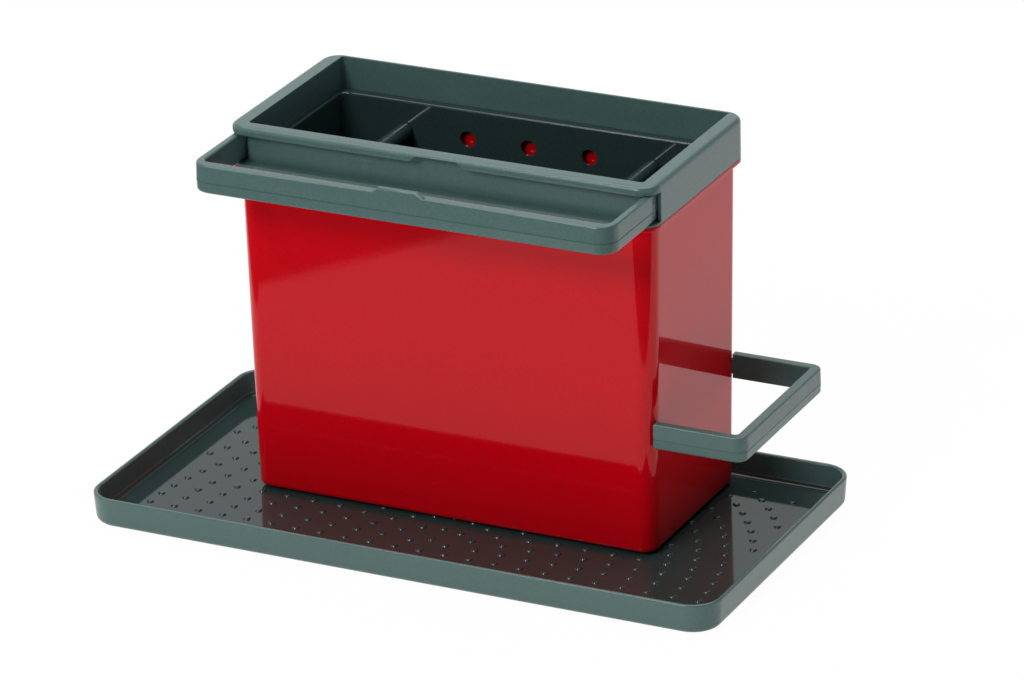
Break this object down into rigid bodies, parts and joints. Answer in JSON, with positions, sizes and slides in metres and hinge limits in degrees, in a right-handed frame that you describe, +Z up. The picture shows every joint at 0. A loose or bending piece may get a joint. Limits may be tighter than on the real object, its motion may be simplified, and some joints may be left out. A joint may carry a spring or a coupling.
{
  "type": "cleaning caddy",
  "caption": "Countertop cleaning caddy: tall bin on a drip tray, with a collar, a lift-out divided basket, a slide-out front towel rail and a clip-in side towel rail.",
  "frame": {"origin": "middle of the drip tray's underside", "axes": "+X along the tray to the side rail's end, +Y to the back, +Z up"},
  "size_m": [0.285, 0.15, 0.1654],
  "materials": {
    "red_plastic": "high gloss moulded red plastic",
    "grey_plastic": "semi-gloss moulded blue-green grey plastic"
  },
  "bodies": {
    "tray": {"drip_tray": "grey_plastic"},
    "bin": {"bin": "red_plastic"},
    "collar": {"collar": "grey_plastic"},
    "front_rail": {"front_rail": "grey_plastic"},
    "basket": {"basket": "grey_plastic"},
    "divider_left": {"divider_left": "grey_plastic"},
    "divider_right": {"divider_right": "grey_plastic"},
    "side_rail": {"side_rail": "grey_plastic"}
  },
  "joints": [
    {"name": "bin_lift", "type": "slide", "parent": "tray", "child": "bin", "axis": [0, 0, 1], "range_m": [0, 0.03]},
    {"name": "collar_lift", "type": "slide", "parent": "bin", "child": "collar", "axis": [0, 0, 1], "range_m": [0, 0.03]},
    {"name": "front_rail_slide", "type": "slide", "parent": "collar", "child": "front_rail", "axis": [0, 1, 0], "range_m": [0, 0.035]},
    {"name": "basket_lift", "type": "slide", "parent": "collar", "child": "basket", "axis": [0, 0, 1], "range_m": [0, 0.16]},
    {"name": "divider_left_lift", "type": "slide", "parent": "basket", "child": "divider_left", "axis": [0, 0, 1], "range_m": [0, 0.09]},
    {"name": "divider_right_lift", "type": "slide", "parent": "basket", "child": "divider_right", "axis": [0, 0, 1], "range_m": [0, 0.09]},
    {"name": "side_rail_pull", "type": "slide", "parent": "bin", "child": "side_rail", "axis": [1, 0, 0], "range_m": [0, 0.02]}
  ]
}
